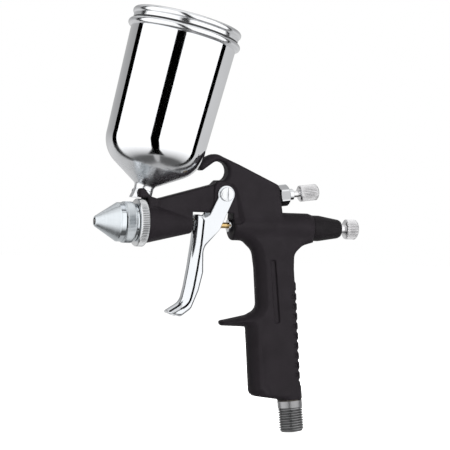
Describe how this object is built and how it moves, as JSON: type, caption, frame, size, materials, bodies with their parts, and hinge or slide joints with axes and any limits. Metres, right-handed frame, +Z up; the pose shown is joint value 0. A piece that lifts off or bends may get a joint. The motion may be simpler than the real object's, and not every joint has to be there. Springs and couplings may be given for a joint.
{
  "type": "mini gravity-feed spray gun",
  "caption": "Hand-held gravity-feed spray gun with a leaning metal cup and lid, conical air cap, stamped trigger, hanging hook, knurled adjusters and a threaded air inlet below the grip.",
  "frame": {"origin": "centre of the open lower end of the air inlet's threaded fitting", "axes": "+Z up with the spray barrel level, -X the way the gun sprays, +X back towards the rear knob, +Y across the gun; the gun is drawn as it is held"},
  "size_m": [0.1475, 0.0604, 0.2227],
  "materials": {
    "body_coating": "black stove enamel, semi-gloss",
    "tail_coating": "black stove enamel, semi-gloss",
    "cup_chrome": "polished",
    "trigger_chrome": "polished",
    "cap_aluminium": "satin turned",
    "ring_nickel": "bright knurled",
    "knob_nickel": "bright knurled",
    "fastener_nickel": "polished",
    "nozzle_steel": "machined",
    "needle_steel": "ground",
    "spring_steel": "drawn wire",
    "brass": "turned",
    "ptfe": "PTFE",
    "seal_rubber": "nitrile",
    "fibre_washer": "fibre",
    "inlet_nickel": "dull nickel plate",
    "strainer_steel": "fine"
  },
  "bodies": {
    "gun": {"gun_body": "body_coating", "fluid_nozzle": "nozzle_steel", "nozzle_seal": "ptfe", "needle_packing": "ptfe", "needle_packing_nut": "fastener_nickel", "trigger_screw": "fastener_nickel", "trigger_nut": "fastener_nickel", "air_valve_packing_nut": "fastener_nickel", "air_valve_plug": "brass", "plug_oring": "seal_rubber", "tail_housing": "tail_coating", "fluid_knob_oring": "seal_rubber", "air_gland_nut": "fastener_nickel", "air_knob_oring": "seal_rubber", "cup": "cup_chrome", "cup_neck": "cup_chrome", "cup_strainer": "strainer_steel", "inlet_fitting": "inlet_nickel", "inlet_washer": "fibre_washer", "air_valve_spring": "spring_steel", "needle_spring": "spring_steel"},
    "trigger": {"trigger": "trigger_chrome"},
    "valve_stem": {"air_valve_stem": "brass", "air_valve_seal": "seal_rubber"},
    "needle": {"fluid_needle": "needle_steel", "needle_chuck": "brass"},
    "spring_seat": {"spring_seat": "brass"},
    "fluid_knob": {"fluid_knob": "knob_nickel"},
    "air_metering_pin": {"air_metering_pin": "brass"},
    "air_knob": {"air_knob": "knob_nickel"},
    "lock_ring": {"cap_lock_ring": "ring_nickel", "lock_ring_clip": "spring_steel"},
    "air_cap": {"air_cap": "cap_aluminium"},
    "lid": {"cup_lid": "cup_chrome", "lid_gasket": "seal_rubber"}
  },
  "joints": [
    {"name": "trigger_pull", "type": "hinge", "parent": "gun", "child": "trigger", "pos_m": [-0.0436, 0, 0.1247], "axis": [0, -1, 0], "range_deg": [0, 14], "stiffness_Nm_per_rad": 0.6, "springref_deg": -20.05},
    {"name": "valve_stem_slide", "type": "slide", "parent": "gun", "child": "valve_stem", "axis": [1, 0, 0], "range_m": [0, 0.0041], "deforming": ["air_valve_spring"]},
    {"name": "needle_slide", "type": "slide", "parent": "gun", "child": "needle", "axis": [1, 0, 0], "range_m": [0, 0.0041], "deforming": ["needle_spring"]},
    {"name": "spring_seat_slide", "type": "slide", "parent": "gun", "child": "spring_seat", "axis": [1, 0, 0], "range_m": [-0.00077, 0.0023], "deforming": ["needle_spring"]},
    {"name": "fluid_knob_turn", "type": "hinge", "parent": "spring_seat", "child": "fluid_knob", "pos_m": [0.0259, 0, 0.1084], "axis": [1, 0, 0], "range_deg": [-360, 1080]},
    {"name": "air_pin_slide", "type": "slide", "parent": "gun", "child": "air_metering_pin", "axis": [0.9914, 0, 0.1305], "range_m": [-0.00151, 0.00226]},
    {"name": "air_knob_turn", "type": "hinge", "parent": "air_metering_pin", "child": "air_knob", "pos_m": [-0.0123, 0, 0.125], "axis": [0.9914, 0, 0.1305], "range_deg": [-720, 1080]},
    {"name": "lock_ring_turn", "type": "hinge", "parent": "gun", "child": "lock_ring", "pos_m": [-0.0894, 0, 0.1084], "axis": [-1, 0, 0], "range_deg": [0, 180]},
    {"name": "air_cap_turn", "type": "hinge", "parent": "gun", "child": "air_cap", "pos_m": [-0.0961, 0, 0.1084], "axis": [-1, 0, 0], "range_deg": [0, 180]},
    {"name": "lid_lift", "type": "slide", "parent": "gun", "child": "lid", "axis": [0.2334, 0, 0.9724], "range_m": [0, 0.03]}
  ],
  "couplings": [
    {"joint": "valve_stem_slide", "follows": "trigger_pull", "m_per_rad": 0.0164},
    {"joint": "needle_slide", "follows": "trigger_pull", "m_per_rad": 0.0164},
    {"joint": "spring_seat_slide", "follows": "fluid_knob_turn", "m_per_rad": 0.00011937},
    {"joint": "air_pin_slide", "follows": "air_knob_turn", "m_per_rad": 0.00011937}
  ]
}
